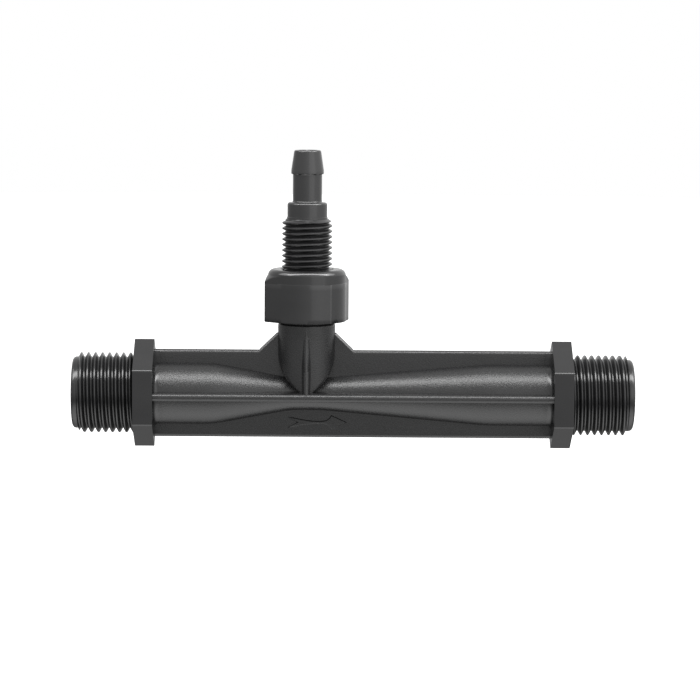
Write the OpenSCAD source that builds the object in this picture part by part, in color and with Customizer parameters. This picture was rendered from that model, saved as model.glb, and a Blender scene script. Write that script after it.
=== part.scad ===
// Venturi fertilizer injector: an inline venturi body with a check-valve suction nozzle.
// The origin is on the flow axis at the outer face of the inlet hexagon, where a pipe socket stops.
// +X runs with the flow and +Z runs up the suction port. All lengths are in millimetres.

/* [Pipe ends] */
// Length of each pipe end, from the hexagon's outer face to the end face
end_len = 16; // [12:0.5:24]
// Diameter of the pipe thread over its crests
pipe_thread_d = 20.8; // [20:0.1:23]
// Depth of the pipe thread, from crest to root
pipe_thread_depth = 1.16; // [0.8:0.02:1.4]
// Length of the plain nose ahead of the thread
nose_len = 1.7; // [1.2:0.1:4]
// Rounding of the nose's outer edge
nose_round = 1; // [0.2:0.1:1.1]

/* [Hexagons] */
// Width of each hexagon across its flats
hex_af = 24.4; // [22:0.1:32]
// Thickness of each hexagon along the flow
hex_t = 5.1; // [3:0.1:10]

/* [Venturi tube] */
// Diameter of the bore at both ends
bore_d = 13; // [9:0.1:15]
// Diameter of the bore at the throat
throat_d = 5; // [3:0.1:7]
// Wall of the tube along its straight runs
tube_wall = 1.5; // [1:0.1:2.5]
// Wall of the tube round the throat
throat_wall = 1.8; // [1:0.1:3]
// Length of straight tube behind the inlet hexagon
inlet_run = 15.3; // [5:0.1:40]
// Length of the converging cone
converge_len = 20; // [12:0.5:40]
// Length of the throat
throat_len = 8; // [4:0.5:16]
// Length of the diverging cone
diverge_len = 42.5; // [20:0.5:80]
// Length of straight tube ahead of the outlet hexagon
outlet_run = 17; // [5:0.1:40]

/* [Ribs] */
// Reach of the long ribs from the flow axis
rib_reach = 11.4; // [10:0.1:13]
// Thickness of the long ribs and of the gussets that stand on them
rib_t = 2; // [1.4:0.1:3]
// Rounding of the long edges of the ribs
rib_round = 0.6; // [0.1:0.1:0.7]

/* [Suction stub] */
// Height of the stub's rim above the flow axis
stub_h = 26.2; // [24:0.1:40]
// Height above the flow axis where the stub begins to narrow to its pointed bottom
point_z = 12.4; // [11:0.1:13]
// Length of the stub's pointed bottom, seen from the front
point_len = 13.4; // [12.5:0.1:15]
// Wall of the stub round the ball chamber
stub_wall = 2.6; // [1.8:0.1:4]
// Step from the stub's side out to the neck that carries the nut
neck_step = 1.1; // [0.6:0.1:2]
// Length of the neck that carries the nut
neck_len = 6.2; // [4:0.1:9]
// Rise of the gussets above the ribs' edges
gusset_rise = 4.7; // [2:0.1:7]
// Run of the end gussets along the top rib
gusset_run = 4.9; // [2:0.1:10]
// Thickness of the front and back gussets
side_gusset_t = 1.5; // [1:0.1:3]
// Diameter of the suction hole between the throat and the ball chamber
suction_d = 3; // [1.5:0.1:4]

/* [Check valve] */
// Diameter of the check ball
ball_d = 8; // [7:0.1:9]
// Gap between the ball and the wall of its chamber
ball_gap = 0.8; // [0.3:0.1:1.5]
// Depth of the ball chamber below the stub's rim
chamber_depth = 11.7; // [10:0.1:14]
// Width of the slots across the chamber's floor, which keep the flow open under the ball
slot_w = 1.2; // [0.6:0.1:2]
// Depth of the slots across the chamber's floor
slot_depth = 1; // [0.4:0.1:2]
// Thickness of the seat gasket
gasket_t = 1.8; // [1:0.1:3]
// Hole in the seat gasket, which is the ball's upper seat
gasket_hole_d = 5.4; // [4.8:0.1:6]
// Clearance between the ball and its seats at both ends of its travel
seat_gap = 0.15; // [0.05:0.05:0.3]

/* [Union nut] */
// Height of the nut
nut_h = 13.5; // [12:0.1:18]
// Wall of the nut round the neck
nut_wall = 1.4; // [1:0.1:3]
// Thickness of the nut's end wall
nut_cap_t = 2.4; // [1.5:0.1:4]
// Rounding of the nut's top edge
nut_round = 1; // [0.3:0.1:1.4]
// Rise of the two grip lobes above the nut's side
lobe_rise = 1.4; // [0.5:0.1:3]
// Angle from a lobe's crest to its foot on the nut's side
lobe_spread = 22; // [12:1:40]
// Height of the lobes' crests above the nut's base
lobe_h = 10.4; // [4:0.1:11]
// Height of the lobes' sloped upper ends
lobe_slope = 1.7; // [0.6:0.1:2]
// Angle of the lobes from +X
lobe_turn = 20; // [-90:5:90]
// Rise of the two small ridges above the nut's side
ridge_rise = 0.45; // [0.2:0.05:1]
// Angle from a ridge's crest to its foot on the nut's side
ridge_spread = 7; // [4:1:20]
// Height of the ridges above the nut's base
ridge_h = 10; // [4:0.1:11]
// Angle from a lobe to the next ridge
ridge_turn = 107; // [40:1:140]
// Radial play of the nut on the neck
nut_play = 0.2; // [0.1:0.05:0.4]

/* [Nozzle] */
// Thickness of the flange under the nut's end wall
flange_t = 2; // [1:0.1:3]
// Radial play of the flange and gasket in the nut
flange_play = 0.3; // [0.1:0.05:0.5]
// Diameter of the plain shank in the nut's hole
shank_d = 12.4; // [10:0.1:13]
// Diameter of the hose-nut thread over its crests
hose_thread_d = 13; // [11.6:0.1:14]
// Depth of the hose-nut thread, from crest to root
hose_thread_depth = 0.92; // [0.6:0.02:1.1]
// Length of the hose-nut thread above the nut
hose_thread_len = 12.9; // [6:0.1:20]
// Radial play of the hose-nut thread in the nut's hole
nut_hole_play = 0.25; // [0.1:0.05:0.5]
// Diameter of the collar above the thread
collar_d = 10.3; // [9:0.1:11.4]
// Height of the collar
collar_h = 4.3; // [2:0.1:8]
// Rounding of the collar's top edge
collar_round = 0.6; // [0.1:0.1:1]
// Diameter of the stem below the barb
stem_d = 7.5; // [6.6:0.1:8]
// Height of the stem
stem_h = 7.3; // [3:0.1:15]
// Largest diameter of the hose barb
barb_d = 8.4; // [8.1:0.1:10]
// Height of the straight land at the barb's foot
barb_land = 0.9; // [0.3:0.1:2]
// Height of the barb's taper above its land
barb_taper_h = 5.2; // [2:0.1:10]
// Diameter of the barb's tip
barb_tip_d = 6.9; // [6.2:0.1:8]
// Diameter of the bore through the nozzle
nozzle_bore_d = 4.6; // [3:0.1:5]

/* [Hidden] */
$fn = 64;
// Overshoot of the cutting bodies past the faces that they open
over = 1;
// Length of the wedges' flanks on the nut, as a share of the run from crest to foot,
// so that they end inside the nut's wall
flank_share = 1.25;
black = "#2c2c2e";
// Places along the flow
ribs_len = inlet_run + converge_len + throat_len + diverge_len + outlet_run;
throat_x = hex_t + inlet_run + converge_len;
stub_x = throat_x + throat_len / 2;
outlet_hex_x = hex_t + ribs_len;
outlet_face_x = outlet_hex_x + hex_t;
// Radii of the stub, the nut and what they hold
chamber_r = ball_d / 2 + ball_gap;
stub_r = chamber_r + stub_wall;
neck_r = stub_r + neck_step;
nut_bore_r = neck_r + nut_play;
nut_r = nut_bore_r + nut_wall;
lobe_r = nut_r + lobe_rise;
nut_hole_r = hose_thread_d / 2 + nut_hole_play;
flange_r = nut_bore_r - flange_play;
// Heights up the suction port
gusset_top_z = rib_reach + gusset_rise;
chamber_floor_z = stub_h - chamber_depth;
flange_z = stub_h + gasket_t;
nut_top_z = flange_z + flange_t + nut_cap_t;
nut_base_z = nut_top_z - nut_h;
collar_z = nut_top_z + hose_thread_len;
stem_z = collar_z + collar_h;
barb_z = stem_z + stem_h;
ball_rest_z = chamber_floor_z + seat_height(suction_d) + seat_gap;

// Height of the ball's centre over the round hole that it sits in
function seat_height(hole_d) = sqrt(pow(ball_d / 2, 2) - pow(hole_d / 2, 2));

// Half section of a threaded shank from 0 up to len along Y, at its crest diameter,
// with a chamfer down to the thread's root at its free end
module threaded_section(d, depth, len) {
    polygon([
        [0, 0],
        [d / 2, 0],
        [d / 2, len - depth],
        [d / 2 - depth, len],
        [0, len]
    ]);
}

// Half section of a disc of radius r from 0 up to h along Y, with its upper outer edge rounded
module rounded_disc_section(r, h, round) {
    square([r, h - round]);
    square([r - round, h]);
    translate([r - round, h - round]) circle(round);
}

// Flat bar section across the flow, with rounded edges at both ends
module rib_section() {
    half_t = rib_t / 2;
    square([2 * (rib_reach - rib_round), rib_t], center = true);
    square([2 * rib_reach, rib_t - 2 * rib_round], center = true);
    for (x = [-1, 1], y = [-1, 1])
        translate([x * (rib_reach - rib_round), y * (half_t - rib_round)]) circle(rib_round);
}

// Threaded pipe end that grows along +Z from the face of its hexagon
module pipe_end() {
    rotate_extrude() {
        threaded_section(pipe_thread_d, pipe_thread_depth, end_len - nose_len);
        rounded_disc_section(pipe_thread_d / 2 - pipe_thread_depth, end_len, nose_round);
    }
}

// Hexagon across the flow, with points up and down
module hexagon(x) {
    translate([x, 0, 0]) rotate([0, 90, 0]) cylinder(d = hex_af / cos(30), h = hex_t, $fn = 6);
}

// Half section of the venturi, from the inlet hexagon to the outlet hexagon, along Y
module venturi_section(end_r, throat_r) {
    polygon([
        [0, 0],
        [end_r, 0],
        [end_r, hex_t + inlet_run],
        [throat_r, throat_x],
        [throat_r, throat_x + throat_len],
        [end_r, throat_x + throat_len + diverge_len],
        [end_r, outlet_face_x],
        [0, outlet_face_x]
    ]);
}

// Solid of revolution of its children round the flow axis
module along_flow() {
    rotate([0, 90, 0]) rotate_extrude() children();
}

// Flow bore from end face to end face
module flow_bore() {
    along_flow() {
        venturi_section(bore_d / 2, throat_d / 2);
        translate([0, -end_len - over]) square([bore_d / 2, end_len + over]);
        translate([0, outlet_face_x]) square([bore_d / 2, end_len + over]);
    }
}

// Front outline of the stub: straight sides that curve in to a point at the bottom
module stub_outline() {
    arc_r = (pow(point_len, 2) + pow(stub_r, 2)) / (2 * stub_r);
    translate([-stub_r, point_z]) square([2 * stub_r, stub_h - point_z]);
    intersection() {
        translate([stub_r - arc_r, point_z]) circle(arc_r);
        translate([arc_r - stub_r, point_z]) circle(arc_r);
        translate([-stub_r, point_z - point_len]) square([2 * stub_r, point_len]);
    }
}

// Stub, round seen from above and pointed seen from the front, with the neck that carries the nut
module stub() {
    intersection() {
        cylinder(r = stub_r, h = stub_h);
        rotate([90, 0, 0]) linear_extrude(2 * stub_r + 2 * over, center = true) stub_outline();
    }
    translate([0, 0, stub_h - neck_len]) cylinder(r = neck_r, h = neck_len);
}

// Gussets between the stub and the ribs: two along the top rib, and one each at the front and back
module gussets() {
    rotate([90, 0, 0]) linear_extrude(rib_t, center = true) polygon([
        [-stub_r - gusset_run, rib_reach - rib_round],
        [-stub_r - gusset_run, rib_reach],
        [-stub_r, gusset_top_z],
        [stub_r, gusset_top_z],
        [stub_r + gusset_run, rib_reach],
        [stub_r + gusset_run, rib_reach - rib_round]
    ]);
    rotate([90, 0, 90]) linear_extrude(side_gusset_t, center = true) polygon([
        [-rib_reach, 0],
        [-stub_r, gusset_top_z],
        [stub_r, gusset_top_z],
        [rib_reach, 0]
    ]);
}

// Ball chamber, its slotted floor and the suction hole down to the throat
module suction_way() {
    cylinder(d = suction_d, h = stub_h);
    translate([0, 0, chamber_floor_z]) cylinder(r = chamber_r, h = chamber_depth + over);
    translate([0, 0, chamber_floor_z - slot_depth]) {
        slot_h = slot_depth + over;
        translate([-chamber_r, -slot_w / 2, 0]) cube([2 * chamber_r, slot_w, slot_h]);
        translate([-slot_w / 2, -chamber_r, 0]) cube([slot_w, 2 * chamber_r, slot_h]);
    }
}

// One-piece moulding: pipe ends, hexagons, ribbed venturi tube and suction stub
module injector_body() {
    color(black) difference() {
        union() {
            rotate([0, -90, 0]) pipe_end();
            translate([outlet_face_x, 0, 0]) rotate([0, 90, 0]) pipe_end();
            hexagon(0);
            hexagon(outlet_hex_x);
            along_flow() venturi_section(bore_d / 2 + tube_wall, throat_d / 2 + throat_wall);
            translate([hex_t / 2, 0, 0]) rotate([90, 0, 90]) linear_extrude(ribs_len + hex_t) {
                rib_section();
                rotate(90) rib_section();
            }
            translate([stub_x, 0, 0]) {
                stub();
                gussets();
            }
        }
        flow_bore();
        translate([stub_x, 0, 0]) suction_way();
    }
}

// Two opposite wedges on the nut's side, in plan, with their flanks run on into the nut's wall
module nut_wedges(rise, spread) {
    crest = [nut_r + rise, 0];
    flank = flank_share * (nut_r * [cos(spread), sin(spread)] - crest);
    for (turn = [0, 180]) rotate(turn) polygon([
        crest,
        crest + flank,
        [nut_bore_r, 0],
        crest + [flank.x, -flank.y]
    ]);
}

// Grip of the nut: two lobes with sloped upper ends, and two small ridges between them
module nut_grip() {
    rotate(lobe_turn) {
        intersection() {
            linear_extrude(nut_h - nut_round) nut_wedges(lobe_rise, lobe_spread);
            rotate_extrude() polygon([
                [0, 0],
                [lobe_r, 0],
                [lobe_r, lobe_h],
                [lobe_r - 2 * lobe_rise, lobe_h + 2 * lobe_slope],
                [0, lobe_h + 2 * lobe_slope]
            ]);
        }
        linear_extrude(ridge_h) rotate(ridge_turn) nut_wedges(ridge_rise, ridge_spread);
    }
}

// Round union nut that clamps the nozzle's flange on the stub
module union_nut() {
    color(black) translate([stub_x, 0, nut_base_z]) difference() {
        union() {
            rotate_extrude() rounded_disc_section(nut_r, nut_h, nut_round);
            nut_grip();
        }
        translate([0, 0, -over]) cylinder(r = nut_bore_r, h = nut_h - nut_cap_t + over);
        cylinder(r = nut_hole_r, h = nut_h + over);
    }
}

// Half section of the barb above the stem, along Y
module barb_section() {
    polygon([
        [0, 0],
        [barb_d / 2, 0],
        [barb_d / 2, barb_land],
        [barb_tip_d / 2, barb_land + barb_taper_h],
        [0, barb_land + barb_taper_h]
    ]);
}

// Suction nozzle: flange, hose-nut thread, collar, stem and hose barb
module barb_nozzle() {
    color(black) translate([stub_x, 0, flange_z]) difference() {
        rotate_extrude() {
            square([flange_r, flange_t]);
            square([shank_d / 2, nut_top_z - flange_z]);
            translate([0, nut_top_z - flange_z])
                threaded_section(hose_thread_d, hose_thread_depth, hose_thread_len);
            translate([0, collar_z - flange_z]) rounded_disc_section(collar_d / 2, collar_h, collar_round);
            translate([0, stem_z - flange_z]) square([stem_d / 2, stem_h]);
            translate([0, barb_z - flange_z]) barb_section();
        }
        translate([0, 0, -over]) cylinder(d = nozzle_bore_d, h = barb_z + barb_land + barb_taper_h);
    }
}

// Rubber washer under the nozzle's flange
module seat_gasket() {
    color("#1d1d1f") translate([stub_x, 0, stub_h]) difference() {
        cylinder(r = flange_r, h = gasket_t);
        translate([0, 0, -over]) cylinder(d = gasket_hole_d, h = gasket_t + 2 * over);
    }
}

// Loose non-return ball, at rest over the suction hole
module check_ball() {
    color("ivory") translate([stub_x, 0, ball_rest_z]) sphere(d = ball_d);
}

injector_body();
union_nut();
barb_nozzle();
seat_gasket();
check_ball();
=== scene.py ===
"""Looks of the venturi fertilizer injector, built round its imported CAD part."""
import math

import bmesh
import bpy
import numpy as np
from mathutils import Matrix, Vector


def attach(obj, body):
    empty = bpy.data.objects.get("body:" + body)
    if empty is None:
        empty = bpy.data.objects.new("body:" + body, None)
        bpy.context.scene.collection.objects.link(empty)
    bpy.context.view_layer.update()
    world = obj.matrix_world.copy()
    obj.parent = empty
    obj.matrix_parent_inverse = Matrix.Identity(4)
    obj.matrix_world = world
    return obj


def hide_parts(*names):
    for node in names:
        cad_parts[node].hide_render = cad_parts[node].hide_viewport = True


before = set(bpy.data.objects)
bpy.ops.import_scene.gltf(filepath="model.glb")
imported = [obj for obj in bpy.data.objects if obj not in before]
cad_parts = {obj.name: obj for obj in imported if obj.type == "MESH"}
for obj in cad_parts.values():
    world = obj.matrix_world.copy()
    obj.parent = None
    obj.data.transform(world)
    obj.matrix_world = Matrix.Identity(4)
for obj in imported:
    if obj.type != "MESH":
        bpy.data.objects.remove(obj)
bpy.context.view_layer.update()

# Sizes in millimetres, most of them repeated from the part's source. Shapes are built in
# millimetres and scaled to metres once they are whole.
END_LEN, NOSE_LEN, NOSE_ROUND = 16.0, 1.7, 1.0
PIPE_R, PIPE_DEPTH, PIPE_PITCH = 10.4, 1.16, 1.814
HEX_AF, HEX_T, HEX_EASE, HEX_RIM_EASE = 24.4, 5.1, 0.42, 0.1
BORE_R, BORE_LEAD, BORE_FLARE, THROAT_BORE_R = 6.5, 0.4, 1.5, 2.5
TUBE_R, THROAT_R, TUBE_EASE, TUBE_FILLET = 8.0, 4.3, 2.2, 1.2
CONE_XS = (20.4, 40.4, 48.4, 90.9)
OUTLET_HEX_X, OUTLET_FACE_X = 107.9, 113.0
RIB_REACH, RIB_T, RIB_ROUND = 11.4, 2.0, 0.9
STUB_X, STUB_R, STUB_H = 44.4, 7.4, 26.2
POINT_Z, POINT_LEN, POINT_POWER = 12.4, 12.9, 2.6
NECK_R, NECK_LEN = 8.5, 6.2
GROOVE_ZS, GROOVE_DEPTH = (17.9, 18.1, 18.5), 0.3
GUSSET_TOP_Z, GUSSET_RUN, GUSSET_CHAMFER = 16.1, 4.9, 0.5
SIDE_GUSSET_TOP_Z, SIDE_GUSSET_NOSE_R, SIDE_GUSSET_ROOT_Y = 17.1, 0.25, -4
CHAMBER_R, CHAMBER_FLOOR_Z, SUCTION_R = 4.8, 14.5, 1.5
SLOT_W, SLOT_DEPTH = 1.2, 1.0
NUT_BASE_Z, NUT_H, NUT_R, NUT_CAP_T = 18.9, 13.5, 10.1, 2.4
NUT_BORE_R, NUT_HOLE_R, NUT_EASE = 8.7, 6.75, 0.25
NUT_LEDGE_H, NUT_LEDGE, NUT_ROUND = 10.0, 0.07, 1.5
LOBE_R, LOBE_H, LOBE_SLOPE = 11.5, 10.4, 1.7
RIDGE_R = 10.55
FLANGE_Z, FLANGE_T, FLANGE_R, FLANGE_EASE, SHANK_R = 28.0, 2.0, 8.4, 0.15, 6.2
HOSE_R, HOSE_DEPTH, HOSE_PITCH = 6.5, 0.92, 1.411
NUT_TOP_Z, COLLAR_Z, STEM_Z, BARB_Z, TIP_Z = 32.4, 45.3, 49.6, 56.9, 63.0
COLLAR_R, COLLAR_ROUND, COLLAR_RIM, STEM_R, STEM_FILLET = 5.15, 0.6, 0.12, 3.75, 0.45
BARB_R, BARB_LAND, BARB_TIP_R, BARB_TIP_ROUND, NOZZLE_BORE_R = 4.2, 0.9, 3.45, 0.45, 2.3
ARROW_HEIGHT = 0.22

# Turns of the nut's lobes and ridges, in degrees, and how far their feet lie before and after the crest
LOBE_TURN, LOBE_SPREAD = 18.5, (22.0, 22.0)
RIDGE_TURN, RIDGE_SPREAD = 125.0, (11, 4.5)

# Threads: half the angle between flanks in degrees, and the crest's radius and half the root's flat
# as shares of the pitch
FLANK = 27.5
PIPE_SHARES, HOSE_SHARES = (0.16, 0.062), (0.19, 0.02)
# Places of the thread crests: over the inlet, under the outlet and on the right of the nozzle
INLET_CREST, OUTLET_CREST, HOSE_CREST = 6.53, 8.1, 1.32

# Points round a turned shape, and round the stub and the nut
ROUND, PLAN_ROUND = 96, 120

# Where the tube's grain goes from none to full, near the inlet and near the outlet, in metres
GRAIN_IN, GRAIN_OUT = (0.0060, 0.0068), (0.1070, 0.1062)


def new_object(name, verts, faces):
    """Closed mesh object with its normals outwards."""
    mesh = bpy.data.meshes.new(name)
    mesh.from_pydata([tuple(float(c) for c in v) for v in verts], [], faces)
    bm = bmesh.new()
    bm.from_mesh(mesh)
    bmesh.ops.recalc_face_normals(bm, faces=bm.faces)
    bm.to_mesh(mesh)
    bm.free()
    obj = bpy.data.objects.new(name, mesh)
    bpy.context.scene.collection.objects.link(obj)
    return obj


def loft(name, rings, looped=False):
    """Solid through rings of equal point counts: capped at its ends, or looped, as for a bored piece."""
    count, size = len(rings), len(rings[0])
    faces = [
        (i * size + j, i * size + (j + 1) % size,
         (i + 1) % count * size + (j + 1) % size, (i + 1) % count * size + j)
        for i in range(count if looped else count - 1) for j in range(size)
    ]
    if not looped:
        faces.append(tuple(range(size)))
        faces.append(tuple((count - 1) * size + j for j in range(size)))
    return new_object(name, [p for ring in rings for p in ring], faces)


def turned_rings(profile):
    """Rings round Z for (radius, height) points."""
    angles = np.linspace(0, 2 * math.pi, ROUND, endpoint=False)
    return [[(r * math.cos(a), r * math.sin(a), z) for a in angles] for r, z in profile]


def revolve(name, profile):
    """Solid of revolution round Z of (radius, height) points that start and end off the axis."""
    return loft(name, turned_rings(profile))


def prism(name, outline, depth):
    """Outline in the XZ plane, thickened by depth across Y on both sides together."""
    return loft(name, [[(x, y, z) for x, z in outline] for y in (-depth / 2, depth / 2)])


def bevel_edges(obj, offset, segments, chosen=None):
    """Bevels the chosen edges, or all of them."""
    bm = bmesh.new()
    bm.from_mesh(obj.data)
    edges = [e for e in bm.edges if chosen is None or chosen(e)]
    bmesh.ops.bevel(bm, geom=edges, offset=offset, segments=segments, profile=0.5, affect="EDGES")
    bm.to_mesh(obj.data)
    bm.free()


def arc(centre, radius, start, end, count):
    """Points on a circle from start to end degrees."""
    return [
        (centre[0] + radius * math.cos(math.radians(a)), centre[1] + radius * math.sin(math.radians(a)))
        for a in np.linspace(start, end, count)
    ]


def move(obj, matrix):
    obj.data.transform(matrix)
    return obj


def combine(base, operation, others):
    """Boolean of base with each of the others, which are used up."""
    for other in others:
        modifier = base.modifiers.new("combine", "BOOLEAN")
        modifier.operation, modifier.solver, modifier.object = operation, "MANIFOLD", other
    depsgraph = bpy.context.evaluated_depsgraph_get()
    mesh = bpy.data.meshes.new_from_object(base.evaluated_get(depsgraph))
    base.modifiers.clear()
    base.data = mesh
    for other in others:
        bpy.data.objects.remove(other)
    return base


def smooth_max(a, b, k):
    """Larger of the two, blended where they differ by less than k."""
    h = np.maximum(k - np.abs(a - b), 0) / k
    return np.maximum(a, b) + h * h * k / 4


def screw(name, crest_r, depth, pitch, length, crest_at, shares):
    """Right-handed thread round Z with round crests and flat roots, one crest at that height over +X."""
    crest_round, root_half = shares[0] * pitch, shares[1] * pitch
    root_r, soft = crest_r - depth, 0.03
    profile = arc((0, crest_r - crest_round), crest_round, 180 - FLANK, FLANK, 5)
    profile += [(pitch / 2 - root_half - soft, root_r + soft), (pitch / 2 - root_half + soft, root_r)]
    profile += [(pitch / 2 + root_half - soft, root_r), (pitch / 2 + root_half + soft, root_r + soft)]
    per_turn, start = len(profile), crest_at % pitch - 3 * pitch
    turns = math.ceil((length - start) / pitch) + 2
    count = per_turn * turns
    verts, faces = [], []
    for i in range(count):
        offset, r = profile[i % per_turn]
        for j in range(ROUND):
            a = 2 * math.pi * j / ROUND
            z = start + (i // per_turn + j / ROUND) * pitch + offset
            verts.append((r * math.cos(a), r * math.sin(a), z))

    def at(i, j):
        return (i + per_turn * (j // ROUND)) * ROUND + j % ROUND

    last = count - 1
    for j in range(ROUND):
        rows = last - (per_turn if j == ROUND - 1 else 0)
        for i in range(rows):
            faces.append((at(i, j), at(i, j + 1), at(i + 1, j + 1), at(i + 1, j)))
    low = [at(0, j) for j in range(ROUND)] + [at(i, 0) for i in range(per_turn, 0, -1)]
    high = [at(last, j) for j in range(ROUND)]
    high += [at(i, ROUND - 1) for i in range(last - 1, last - 1 - per_turn, -1)]
    for rim in (low, high):
        centre = len(verts)
        verts.append((0, 0, np.mean([verts[k][2] for k in rim])))
        faces += [(centre, a, b) for a, b in zip(rim, rim[1:] + rim[:1])]
    return new_object(name, verts, faces)


def pipe_end(name, crest_at):
    """Threaded end along Z from its hexagon's face, with a plain rounded nose."""
    root_r, thread_len = PIPE_R - PIPE_DEPTH, END_LEN - NOSE_LEN
    envelope = revolve(name + "_envelope", [
        (PIPE_R + 0.3, -0.6), (PIPE_R + 0.3, thread_len - 0.35), (root_r - 0.02, thread_len + 0.3),
        (1.0, thread_len + 0.3)
    ])
    thread = screw(name, PIPE_R, PIPE_DEPTH, PIPE_PITCH, thread_len, crest_at, PIPE_SHARES)
    combine(thread, "INTERSECT", [envelope])
    nose_r = root_r + 0.04
    nose = revolve(name + "_nose", [(nose_r, thread_len - 1)] + arc(
        (nose_r - NOSE_ROUND, END_LEN - NOSE_ROUND), NOSE_ROUND, 0, 90, 7) + [(1.0, END_LEN)])
    return combine(thread, "UNION", [nose])


def tube_radius(x):
    """Outer radius of the venturi tube, with its corners eased."""
    spread = np.linspace(-TUBE_EASE, TUBE_EASE, 23)
    return float(np.mean(np.interp(x + spread, CONE_XS, (TUBE_R, THROAT_R, THROAT_R, TUBE_R))))


def beam_section(radius):
    """Tube with four ribs, across the flow: (y, z) points anticlockwise from the rib along +Y."""
    half_t = RIB_T / 2
    run = math.sqrt(radius ** 2 - half_t ** 2)
    turn = math.degrees(math.atan2(half_t, run))
    side = arc((RIB_REACH - RIB_ROUND, half_t - RIB_ROUND), RIB_ROUND, 0, 90, 5)
    side += [((RIB_REACH - RIB_ROUND + run) / 2, half_t), (run, half_t)]
    quarter = side + arc((0, 0), radius, turn, 90 - turn, 18)[1:-1] + [(v, u) for u, v in reversed(side)]
    return (quarter + [(-y, z) for y, z in reversed(quarter)]
            + [(-y, -z) for y, z in quarter] + [(y, -z) for y, z in reversed(quarter)])


def beam():
    """Ribbed venturi tube between the hexagons, with a fillet at their faces and its ends inside them."""
    low, high, sunk = HEX_T, OUTLET_HEX_X, 2.5
    steps = [TUBE_FILLET * (1 - math.cos(k * math.pi / 12)) for k in range(7)]
    stations = [low - sunk] + [low + s for s in steps] + list(np.arange(low + 2.2, high - 1.5, 1.3))
    stations += [high - s for s in reversed(steps)] + [high + sunk]
    rings = []
    for x in stations:
        near = min(max(min(x - low, high - x), 0), TUBE_FILLET)
        swell = TUBE_FILLET - math.sqrt(TUBE_FILLET ** 2 - (TUBE_FILLET - near) ** 2)
        rings.append([(x, y, z) for y, z in beam_section(tube_radius(x) + swell)])
    return loft("injector_body_looks", rings)


def hexagon(name, x):
    """Hexagon across the flow, with points up and down and eased edges."""
    r = HEX_AF / 2 / math.cos(math.pi / 6)
    ring = [(r * math.sin(k * math.pi / 3), r * math.cos(k * math.pi / 3)) for k in range(6)]
    obj = loft(name, [[(x + dx, y, z) for y, z in ring] for dx in (0, HEX_T)])
    bevel_edges(obj, HEX_EASE, 4, lambda e: abs(e.verts[0].co.x - e.verts[1].co.x) > 1)
    bevel_edges(obj, HEX_RIM_EASE, 2, lambda e: e.calc_face_angle() > 1.2)
    return obj


def stub():
    """Stub, round from above and pointed from the front, with the neck that carries the nut."""
    angles = np.linspace(0, 2 * math.pi, PLAN_ROUND, endpoint=False)
    rings = []
    for z in np.concatenate([np.linspace(POINT_Z - POINT_LEN + 0.6, POINT_Z, 30), [15, GROOVE_ZS[0]]]):
        half = STUB_R * (1 - (max(POINT_Z - z, 0) / POINT_LEN) ** POINT_POWER)
        side = half / np.maximum(np.abs(np.cos(angles)), 0.02)
        r = -smooth_max(-side, np.full_like(angles, -STUB_R), 0.35 * (STUB_R - half) + 0.02)
        rings.append([(a * math.cos(b), a * math.sin(b), z) for a, b in zip(r, angles)])
    neck_z, groove_r = STUB_H - NECK_LEN, STUB_R - GROOVE_DEPTH
    profile = [(STUB_R - 0.06, GROOVE_ZS[1]), (groove_r, GROOVE_ZS[2]), (groove_r, neck_z - 0.4)]
    profile += [(NECK_R - 0.2, neck_z), (NECK_R, neck_z + 0.2)]
    profile += [(NECK_R, STUB_H - 0.3), (NECK_R - 0.3, STUB_H)]
    rings += [[(r * math.cos(b), r * math.sin(b), z) for b in angles] for r, z in profile]
    return move(loft("stub", rings), Matrix.Translation((STUB_X, 0, 0)))


def gussets():
    """Two gussets along the top rib, and a lance-shaped one each at the front and back."""
    end = prism("end_gussets", [
        (STUB_X - STUB_R - GUSSET_RUN - 0.5, RIB_REACH - 1.5),
        (STUB_X - STUB_R - GUSSET_RUN, RIB_REACH),
        (STUB_X - STUB_R, GUSSET_TOP_Z), (STUB_X + STUB_R, GUSSET_TOP_Z),
        (STUB_X + STUB_R + GUSSET_RUN, RIB_REACH),
        (STUB_X + STUB_R + GUSSET_RUN + 0.5, RIB_REACH - 1.5)
    ], RIB_T)
    bevel_edges(end, GUSSET_CHAMFER, 1)
    sides, nose_r, root_y = [], SIDE_GUSSET_NOSE_R, SIDE_GUSSET_ROOT_Y
    for name, turn in (("front_gusset", 0), ("back_gusset", math.pi)):
        rings = []
        for z in np.linspace(0, SIDE_GUSSET_TOP_Z + 0.6, 40):
            front = RIB_REACH - 0.05 - (RIB_REACH - STUB_R) * z / SIDE_GUSSET_TOP_Z
            wide = np.interp(z, (0, 9), (0.5, 0.62))
            root = wide + np.interp(z, (0, 9), (0.12, 0.3)) * (front + root_y)
            nose = arc((0, nose_r - front), nose_r, -45, -135, 7)
            roof = [(wide, nose[0][1] + wide - nose[0][0])] + nose
            roof.append((-wide, roof[0][1]))
            rings.append([(x, y, z) for x, y in [(root, root_y)] + roof + [(-root, root_y)]])
        side = loft(name, rings)
        sides.append(move(side, Matrix.Translation((STUB_X, 0, 0)) @ Matrix.Rotation(turn, 4, "Z")))
    return [end] + sides


def flow_bore():
    """Water's way through the body, flared at both ends."""
    inlet_x, outlet_x = -END_LEN, OUTLET_FACE_X + END_LEN
    profile = [(BORE_R + BORE_FLARE, inlet_x - BORE_FLARE + BORE_LEAD), (BORE_R, inlet_x + BORE_LEAD)]
    profile += list(zip((BORE_R, THROAT_BORE_R, THROAT_BORE_R, BORE_R), CONE_XS))
    profile += [(BORE_R, outlet_x - BORE_LEAD), (BORE_R + BORE_FLARE, outlet_x + BORE_FLARE - BORE_LEAD)]
    return move(revolve("flow_bore", profile), Matrix.Rotation(math.pi / 2, 4, "Y"))


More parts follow.
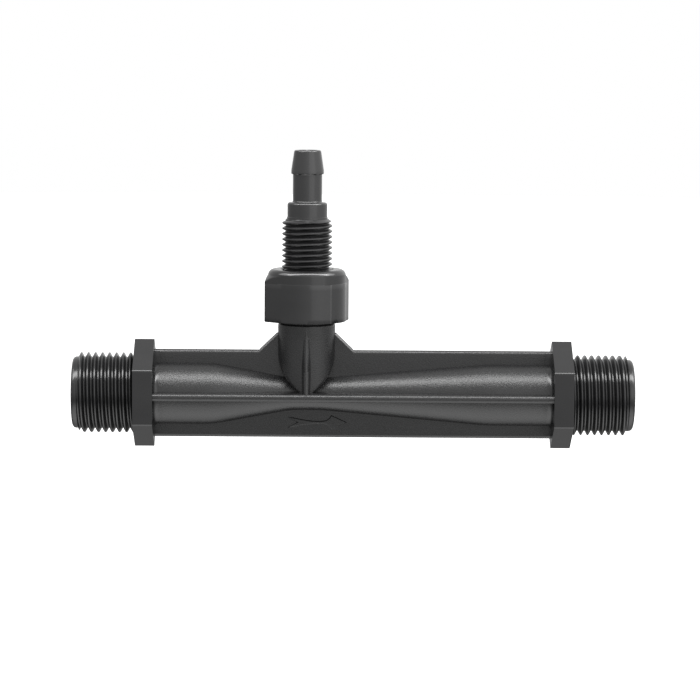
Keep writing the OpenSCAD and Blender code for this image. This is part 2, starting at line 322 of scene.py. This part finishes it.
def suction_way():
    """Ball chamber, its slotted floor and the suction hole."""
    tools = [revolve("chamber", [
        (SUCTION_R, 0), (SUCTION_R, CHAMBER_FLOOR_Z), (CHAMBER_R, CHAMBER_FLOOR_Z),
        (CHAMBER_R, STUB_H + 1)
    ])]
    low = CHAMBER_FLOOR_Z - SLOT_DEPTH
    high = low + SLOT_DEPTH + 0.5
    for name, wide, deep in (("slot_x", CHAMBER_R, SLOT_W / 2), ("slot_y", SLOT_W / 2, CHAMBER_R)):
        outline = [(-wide, low), (wide, low), (wide, high), (-wide, high)]
        tools.append(prism(name, outline, 2 * deep))
    return [move(tool, Matrix.Translation((STUB_X, 0, 0))) for tool in tools]


def widened(outline, amount):
    """Clockwise outline moved outwards by that amount, with its sharp corners held back."""
    points = np.array(outline)
    ahead, behind = np.roll(points, -1, axis=0) - points, points - np.roll(points, 1, axis=0)
    sides = [
        np.stack([-d[:, 1], d[:, 0]], axis=1) / np.linalg.norm(d, axis=1)[:, None]
        for d in (ahead, behind)
    ]
    way = sides[0] + sides[1]
    way /= np.maximum(np.linalg.norm(way, axis=1), 0.2)[:, None]
    stretch = np.maximum((way * sides[0]).sum(axis=1), 0.6)[:, None]
    return [tuple(p) for p in points + amount * way / stretch]


def flow_arrow():
    """Raised arrow on the front of the lower rib: a swallow tail, a waisted shaft and a head."""
    tail, notch, waist, barb, tip = 39.85, 2.6, 46.8, 51.0, 54.7
    middle, thin, tail_rise, barb_rise = -7.4, 0.15, 1.16, 1.48
    upper = [
        (tail + s * (waist - tail), middle + thin + tail_rise * (1 - s) ** 1.5)
        for s in np.linspace(0, 1, 9)
    ]
    upper += [
        (waist + s * (barb - waist), middle + thin + barb_rise * s ** 5)
        for s in np.linspace(0.2, 1, 9)
    ]
    lower = [(x, 2 * middle - z) for x, z in upper]
    outline = [(tail + notch, middle)] + upper + [(tip, middle)] + lower[::-1]
    face = -RIB_T / 2
    return loft("flow_arrow", [
        [(x, face + ARROW_HEIGHT, z) for x, z in widened(outline, 2 * ARROW_HEIGHT)],
        [(x, face - ARROW_HEIGHT, z) for x, z in outline]
    ])


def injector_body():
    """The black moulding: tube, ribs, hexagons, threaded ends, stub, gussets and water ways."""
    body = beam()
    turn_in = Matrix.Rotation(-math.pi / 2, 4, "Y")
    turn_out = Matrix.Translation((OUTLET_FACE_X, 0, 0)) @ Matrix.Rotation(math.pi / 2, 4, "Y")
    inlet = move(pipe_end("inlet_end", INLET_CREST), turn_in)
    outlet = move(pipe_end("outlet_end", OUTLET_CREST), turn_out)
    hexes = [hexagon("inlet_hexagon", 0), hexagon("outlet_hexagon", OUTLET_HEX_X)]
    combine(body, "UNION", [inlet, outlet] + hexes + [stub(), flow_arrow()] + gussets())
    return combine(body, "DIFFERENCE", [flow_bore()] + suction_way())


def wedge(delta, crest_r, spread):
    """Plan radius, at angles from its crest, of a wedge whose feet lie spread degrees from it."""
    s = np.radians(np.where(delta < 0, spread[0], spread[1]))
    tilt = np.arctan2(crest_r - NUT_R * np.cos(s), NUT_R * np.sin(s))
    return np.where(np.abs(delta) < tilt, crest_r * np.cos(tilt) / np.cos(np.abs(delta) - tilt), 0)


def union_nut():
    """Round nut with two grip lobes and two small ridges."""
    lobe_crests = [math.radians(a) for a in (LOBE_TURN, LOBE_TURN + 180)]
    ridge_crests = [math.radians(a) for a in (RIDGE_TURN, RIDGE_TURN + 180)]
    spread = np.radians(np.concatenate([
        np.arange(-2, 2.01, 0.25), np.arange(-30, -2, 1), np.arange(3, 31, 1)]))
    angles = [np.linspace(0, 2 * math.pi, PLAN_ROUND, endpoint=False)]
    angles += [c + spread for c in lobe_crests + ridge_crests]
    phi = np.unique(np.round(np.mod(np.concatenate(angles), 2 * math.pi), 3))

    def wedges(crests, crest_r, feet):
        turned = [np.mod(phi - c + math.pi, 2 * math.pi) - math.pi for c in crests]
        return np.maximum(*(wedge(delta, crest_r, feet) for delta in turned))

    lobes = wedges(lobe_crests, LOBE_R, LOBE_SPREAD)
    ridges = wedges(ridge_crests, RIDGE_R, RIDGE_SPREAD)

    def outer(h, inset=0.0):
        """Plan radius at that height above the nut's base."""
        round_r = np.full_like(phi, NUT_R if h <= NUT_LEDGE_H else NUT_R - NUT_LEDGE)
        limit = LOBE_R - 0.04 - max(h - LOBE_H, 0) * (LOBE_R - NUT_R + 0.1) / LOBE_SLOPE
        r = smooth_max(round_r, -smooth_max(-lobes, np.full_like(phi, -limit), 0.08), 0.12)
        if h <= NUT_LEDGE_H:
            r = smooth_max(r, -smooth_max(-ridges, np.full_like(phi, 0.02 - RIDGE_R), 0.03), 0.06)
        return r - inset

    def ring(radius, h):
        radius = np.broadcast_to(radius, phi.shape)
        return [(r * math.cos(a), r * math.sin(a), h) for r, a in zip(radius, phi)]

    rings = [
        ring(outer(0, NUT_EASE - NUT_EASE * math.sin(a)), NUT_EASE - NUT_EASE * math.cos(a))
        for a in np.radians([0, 30, 60, 90])
    ]
    rings += [ring(outer(h), h) for h in np.linspace(1.2, NUT_LEDGE_H - 0.1, 8)]
    rings.append(ring(outer(NUT_LEDGE_H, 0.03), NUT_LEDGE_H))
    rings.append(ring(outer(NUT_LEDGE_H + 0.05), NUT_LEDGE_H + 0.04))
    rings += [ring(outer(h), h) for h in np.linspace(NUT_LEDGE_H + 0.15, LOBE_H + LOBE_SLOPE + 0.2, 16)]
    cap_r = NUT_R - NUT_LEDGE
    rings += [ring(r, h) for r, h in arc((cap_r - NUT_ROUND, NUT_H - NUT_ROUND), NUT_ROUND, 20, 90, 8)]
    rings += [ring(NUT_HOLE_R + NUT_EASE, NUT_H), ring(NUT_HOLE_R, NUT_H - NUT_EASE)]
    rings += [ring(NUT_HOLE_R, NUT_H - NUT_CAP_T), ring(NUT_BORE_R, NUT_H - NUT_CAP_T)]
    rings += [ring(NUT_BORE_R, 0.4), ring(NUT_BORE_R + 0.4, 0)]
    nut = loft("union_nut_looks", rings, looped=True)
    return move(nut, Matrix.Translation((STUB_X, 0, NUT_BASE_Z)))


def barb_nozzle():
    """Suction nozzle: flange, hose thread, collar, stem and barb."""
    root_r, thread_len = HOSE_R - HOSE_DEPTH, COLLAR_Z - NUT_TOP_Z
    envelope = revolve("hose_envelope", [
        (HOSE_R + 0.3, -1.4), (HOSE_R + 0.3, thread_len - 0.9), (root_r - 0.02, thread_len),
        (1.0, thread_len)
    ])
    thread = screw("hose_thread", HOSE_R, HOSE_DEPTH, HOSE_PITCH, thread_len, HOSE_CREST, HOSE_SHARES)
    combine(thread, "INTERSECT", [envelope])
    move(thread, Matrix.Translation((0, 0, NUT_TOP_Z)))
    ease, rim_r, core_r = FLANGE_EASE, COLLAR_R + COLLAR_RIM, root_r - 0.1
    profile = [(NOZZLE_BORE_R, FLANGE_Z), (FLANGE_R - ease, FLANGE_Z), (FLANGE_R, FLANGE_Z + ease)]
    profile += [(FLANGE_R, FLANGE_Z + FLANGE_T - ease), (FLANGE_R - ease, FLANGE_Z + FLANGE_T)]
    profile += [(SHANK_R, FLANGE_Z + FLANGE_T), (SHANK_R, NUT_TOP_Z - 1.0)]
    profile += [(core_r, NUT_TOP_Z - 0.4), (core_r, COLLAR_Z - 0.05)]
    profile += [(rim_r, COLLAR_Z), (rim_r, COLLAR_Z + 0.45), (COLLAR_R, COLLAR_Z + 0.55)]
    profile += arc((COLLAR_R - COLLAR_ROUND, STEM_Z - COLLAR_ROUND), COLLAR_ROUND, 0, 90, 6)
    profile += arc((STEM_R + STEM_FILLET, STEM_Z + STEM_FILLET), STEM_FILLET, -90, -180, 6)
    profile += [(STEM_R, BARB_Z - 0.15), (STEM_R + 0.1, BARB_Z)]
    profile += [(BARB_R - 0.12, BARB_Z), (BARB_R, BARB_Z + 0.15), (BARB_R, BARB_Z + BARB_LAND)]
    profile += [(BARB_TIP_R + 0.05, TIP_Z - BARB_TIP_ROUND)]
    profile += arc((BARB_TIP_R - 0.4, TIP_Z - BARB_TIP_ROUND), BARB_TIP_ROUND, 10, 90, 5)
    profile += [(NOZZLE_BORE_R + 0.2, TIP_Z), (NOZZLE_BORE_R, TIP_Z - 0.25)]
    nozzle = loft("barb_nozzle_looks", turned_rings(profile), looped=True)
    bore = revolve("nozzle_bore", [(NOZZLE_BORE_R, NUT_TOP_Z - 3), (NOZZLE_BORE_R, COLLAR_Z + 3)])
    combine(thread, "DIFFERENCE", [bore])
    combine(nozzle, "UNION", [thread])
    return move(nozzle, Matrix.Translation((STUB_X, 0, 0)))


def finish_mesh(obj, angle):
    """Cleans a piece, scales it to metres and sets smooth shading up to edges sharper than the angle."""
    bm = bmesh.new()
    bm.from_mesh(obj.data)
    bmesh.ops.dissolve_degenerate(bm, dist=0.002, edges=bm.edges[:])
    bmesh.ops.triangulate(bm, faces=[
        f for f in bm.faces if len(f.verts) > 4 or not all(loop.is_convex for loop in f.loops)])
    # Points held only by two faces that lie on each other
    pockets = [
        v for v in bm.verts
        if len(v.link_edges) == 2 and len({frozenset(f.verts) for f in v.link_faces}) == 1
    ]
    bmesh.ops.delete(bm, geom=pockets, context="VERTS")
    bm.to_mesh(obj.data)
    bm.free()
    obj.data.transform(Matrix.Scale(0.001, 4))
    obj.data.polygons.foreach_set("use_smooth", [True] * len(obj.data.polygons))
    obj.data.set_sharp_from_angle(angle=math.radians(angle))
    modifier = obj.modifiers.new("normals", "WEIGHTED_NORMAL")
    modifier.keep_sharp, modifier.weight = True, 60
    mesh = bpy.data.meshes.new_from_object(obj.evaluated_get(bpy.context.evaluated_depsgraph_get()))
    obj.modifiers.clear()
    obj.data = mesh


class Nodes:
    """Short hand for the node tree of a new material or world."""

    def __init__(self, owner):
        owner.use_nodes = True
        self.tree = owner.node_tree
        self.shader = self.tree.nodes.get("Principled BSDF") or self.tree.nodes["Background"]

    def fill(self, node, inputs):
        """Sets a node's inputs to values, or links them to other nodes' outputs."""
        for key, value in inputs.items():
            if isinstance(value, bpy.types.NodeSocket):
                self.tree.links.new(value, node.inputs[key])
            else:
                node.inputs[key].default_value = value

    def add(self, kind, inputs=None, **settings):
        """Outputs of a new node with those inputs and settings."""
        node = self.tree.nodes.new(kind)
        for key, value in settings.items():
            setattr(node, key, value)
        self.fill(node, inputs or {})
        return node.outputs

    def noise(self, place, scale, detail, roughness):
        return self.add("ShaderNodeTexNoise", {
            "Vector": place, "Scale": scale, "Detail": detail, "Roughness": roughness})["Fac"]

    def ramp(self, value, low, high, low_to=0, high_to=1, **settings):
        return self.add("ShaderNodeMapRange", {
            "Value": value, "From Min": low, "From Max": high, "To Min": low_to, "To Max": high_to
        }, **settings)["Result"]

    def maths(self, operation, a, b):
        return self.add("ShaderNodeMath", {0: a, 1: b}, operation=operation)["Value"]

    def mix(self, factor, a, b, **settings):
        return self.add("ShaderNodeMix", {"Factor": factor, "A": a, "B": b}, **settings)["Result"]


def moulded(name, dark, light, roughness, grain, grain_size, ior=1.5, smooth_ends=None):
    """Satin moulding: faint flow marks in its colour and gloss, and a fine spark-etched grain.

    With smooth_ends, what lies beyond the tube's fillets has that roughness and hardly any grain.
    """
    material = bpy.data.materials.new(name)
    n = Nodes(material)
    place = n.add("ShaderNodeTexCoord")["Object"]
    along = n.add("ShaderNodeMapping", {"Vector": place, "Scale": (0.35, 1, 1)})["Vector"]
    clouds = n.noise(along, 160, 4, 0.6)
    specks = n.noise(place, 2600, 2, 0.5)
    fine = n.noise(place, 1 / grain_size, 3, 0.65)
    colour = n.mix(n.ramp(clouds, 0.3, 0.7), (*dark, 1), (*light, 1), data_type="RGBA")
    rough = n.ramp(specks, 0.3, 0.7, roughness - 0.06, roughness + 0.06)
    if smooth_ends:
        along_x = n.add("ShaderNodeSeparateXYZ", {0: place})["X"]
        tube = n.maths("MULTIPLY", n.ramp(along_x, *GRAIN_IN), n.ramp(along_x, *GRAIN_OUT))
        rough = n.mix(tube, smooth_ends, rough)
        grain = n.ramp(tube, 0, 1, 0.05, grain)
    bump = n.add("ShaderNodeBump", {"Height": fine, "Strength": grain, "Distance": 0.00008})["Normal"]
    n.fill(n.shader, {"Base Color": colour, "Roughness": rough, "Normal": bump, "IOR": ior})
    return material


body_looks, nut_looks, nozzle_looks = injector_body(), union_nut(), barb_nozzle()
finish_mesh(body_looks, 30)
finish_mesh(nut_looks, 28)
finish_mesh(nozzle_looks, 30)
for piece, node, slot in (
    (body_looks, "injector_body", "body_plastic"),
    (nut_looks, "union_nut", "nut_plastic"),
    (nozzle_looks, "barb_nozzle", "nozzle_plastic"),
):
    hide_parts(node)
    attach(piece, "injector")

BLACK = (0.006, 0.006, 0.0063), (0.0085, 0.0085, 0.0088)
RUBBER = (0.011, 0.011, 0.011), (0.018, 0.018, 0.018)
IVORY = (0.66, 0.64, 0.58), (0.72, 0.70, 0.64)
body_mat = moulded(
    "body_moulding", *BLACK, roughness=0.3, grain=0.8, grain_size=0.00032, smooth_ends=0.2)
nut_mat = moulded("nut_moulding", *BLACK, roughness=0.18, grain=0.05, grain_size=0.00018, ior=1.55)
nozzle_mat = moulded("nozzle_moulding", *BLACK, roughness=0.2, grain=0.04, grain_size=0.00018, ior=1.6)
rubber_mat = moulded("gasket_rubber", *RUBBER, roughness=0.68, grain=0.2, grain_size=0.0003)
ball_mat = moulded("ball_plastic", *IVORY, roughness=0.28, grain=0.03, grain_size=0.0004)
for piece, material in ((body_looks, body_mat), (nut_looks, nut_mat), (nozzle_looks, nozzle_mat)):
    piece.data.materials.clear()
    piece.data.materials.append(material)
for node, material in (("seat_gasket", rubber_mat), ("check_ball", ball_mat)):
    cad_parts[node].material_slots[0].material = material

# Floor, well below the part, which hangs from its pipes. It neither lights the part nor mirrors in it.
bpy.ops.mesh.primitive_circle_add(vertices=96, radius=6, fill_type="NGON", location=(0.05, 0, -0.28))
floor = bpy.context.object
floor.name = "floor"
floor_mat = bpy.data.materials.new("floor_white")
floor_nodes = Nodes(floor_mat)
floor_nodes.fill(floor_nodes.shader, {
    "Base Color": (0.92, 0.92, 0.92, 1), "Roughness": 0.9,
    "Emission Color": (1, 1, 1, 1), "Emission Strength": 0.5
})
floor.data.materials.append(floor_mat)
floor.visible_diffuse = floor.visible_glossy = False

# Middle of the part, in metres
MIDDLE = Vector((0.05, 0, 0.02))


def area_light(name, azimuth, elevation, width, height, power):
    """Light a metre from the part's middle and facing it, its azimuth counted from the front to +X."""
    a, e = math.radians(azimuth), math.radians(elevation)
    away = Vector((math.sin(a) * math.cos(e), -math.cos(a) * math.cos(e), math.sin(e)))
    data = bpy.data.lights.new(name, "AREA")
    data.shape, data.size, data.size_y, data.energy = "RECTANGLE", width, height, power
    obj = bpy.data.objects.new(name, data)
    obj.location = MIDDLE + away
    obj.rotation_euler = (-away).to_track_quat("-Z", "Y").to_euler()
    bpy.context.scene.collection.objects.link(obj)


area_light("softbox", 4, 66, 2.4, 0.36, 27)
area_light("fill", 35, 10, 0.8, 0.6, 0.65)
area_light("left_light", -84, 42, 0.5, 0.5, 2.6)
area_light("right_light", 84, 42, 0.5, 0.5, 3.2)


def studio(front, back, left, right, low_front, low_back):
    """Studio by the brightness of its walls and ground, and the walls' shares at the left and right."""
    world = bpy.data.worlds.new("studio")
    n = Nodes(world)

    def soft(value, low, high, low_to, high_to):
        return n.ramp(value, low, high, low_to, high_to, interpolation_type="SMOOTHSTEP")

    axes = n.add("ShaderNodeSeparateXYZ", {0: n.add("ShaderNodeTexCoord")["Generated"]})
    behind = soft(axes["Z"], -0.25, 0.05, low_back, back)
    depth = soft(axes["Y"], -0.7, 0.7, front, behind)
    sides = n.maths("MULTIPLY", depth, soft(axes["X"], -0.9, 0.9, left, right))
    walls = n.maths("MULTIPLY", sides, soft(axes["Z"], -0.4, 0.15, 0.45, 1.05))
    ground = soft(axes["Y"], -0.2, 0.7, low_front, low_back)
    around = n.mix(soft(axes["Z"], -0.8, -0.35, 0, 1), ground, walls)
    seen = n.maths("MAXIMUM", n.add("ShaderNodeLightPath")["Is Camera Ray"], around)
    n.fill(n.shader, {"Color": (1, 1, 1, 1), "Strength": seen})
    return world


bpy.context.scene.world = studio(
    front=1.15, back=0.85, left=0.75, right=1.3, low_front=2.3, low_back=0.45)
bpy.context.scene.view_settings.view_transform = "Standard"

# Camera fitted to the photograph: place in metres, turns in degrees
CAMERA_PLACE, YAW, PITCH, ROLL = (0.0476, -0.7712, 0.0942), -0.599, -6.128, -0.441
camera_data = bpy.data.cameras.new("camera")
camera_data.sensor_width, camera_data.lens = 36.0, 154.07
camera_data.clip_start, camera_data.clip_end = 0.01, 50
camera = bpy.data.objects.new("camera", camera_data)
turn = Matrix.Rotation(math.radians(YAW), 4, "Z") @ Matrix.Rotation(math.radians(90 + PITCH), 4, "X")
turn = turn @ Matrix.Rotation(math.radians(-ROLL), 4, "Z")
camera.matrix_world = Matrix.Translation(CAMERA_PLACE) @ turn
bpy.context.scene.collection.objects.link(camera)
bpy.context.scene.camera = camera
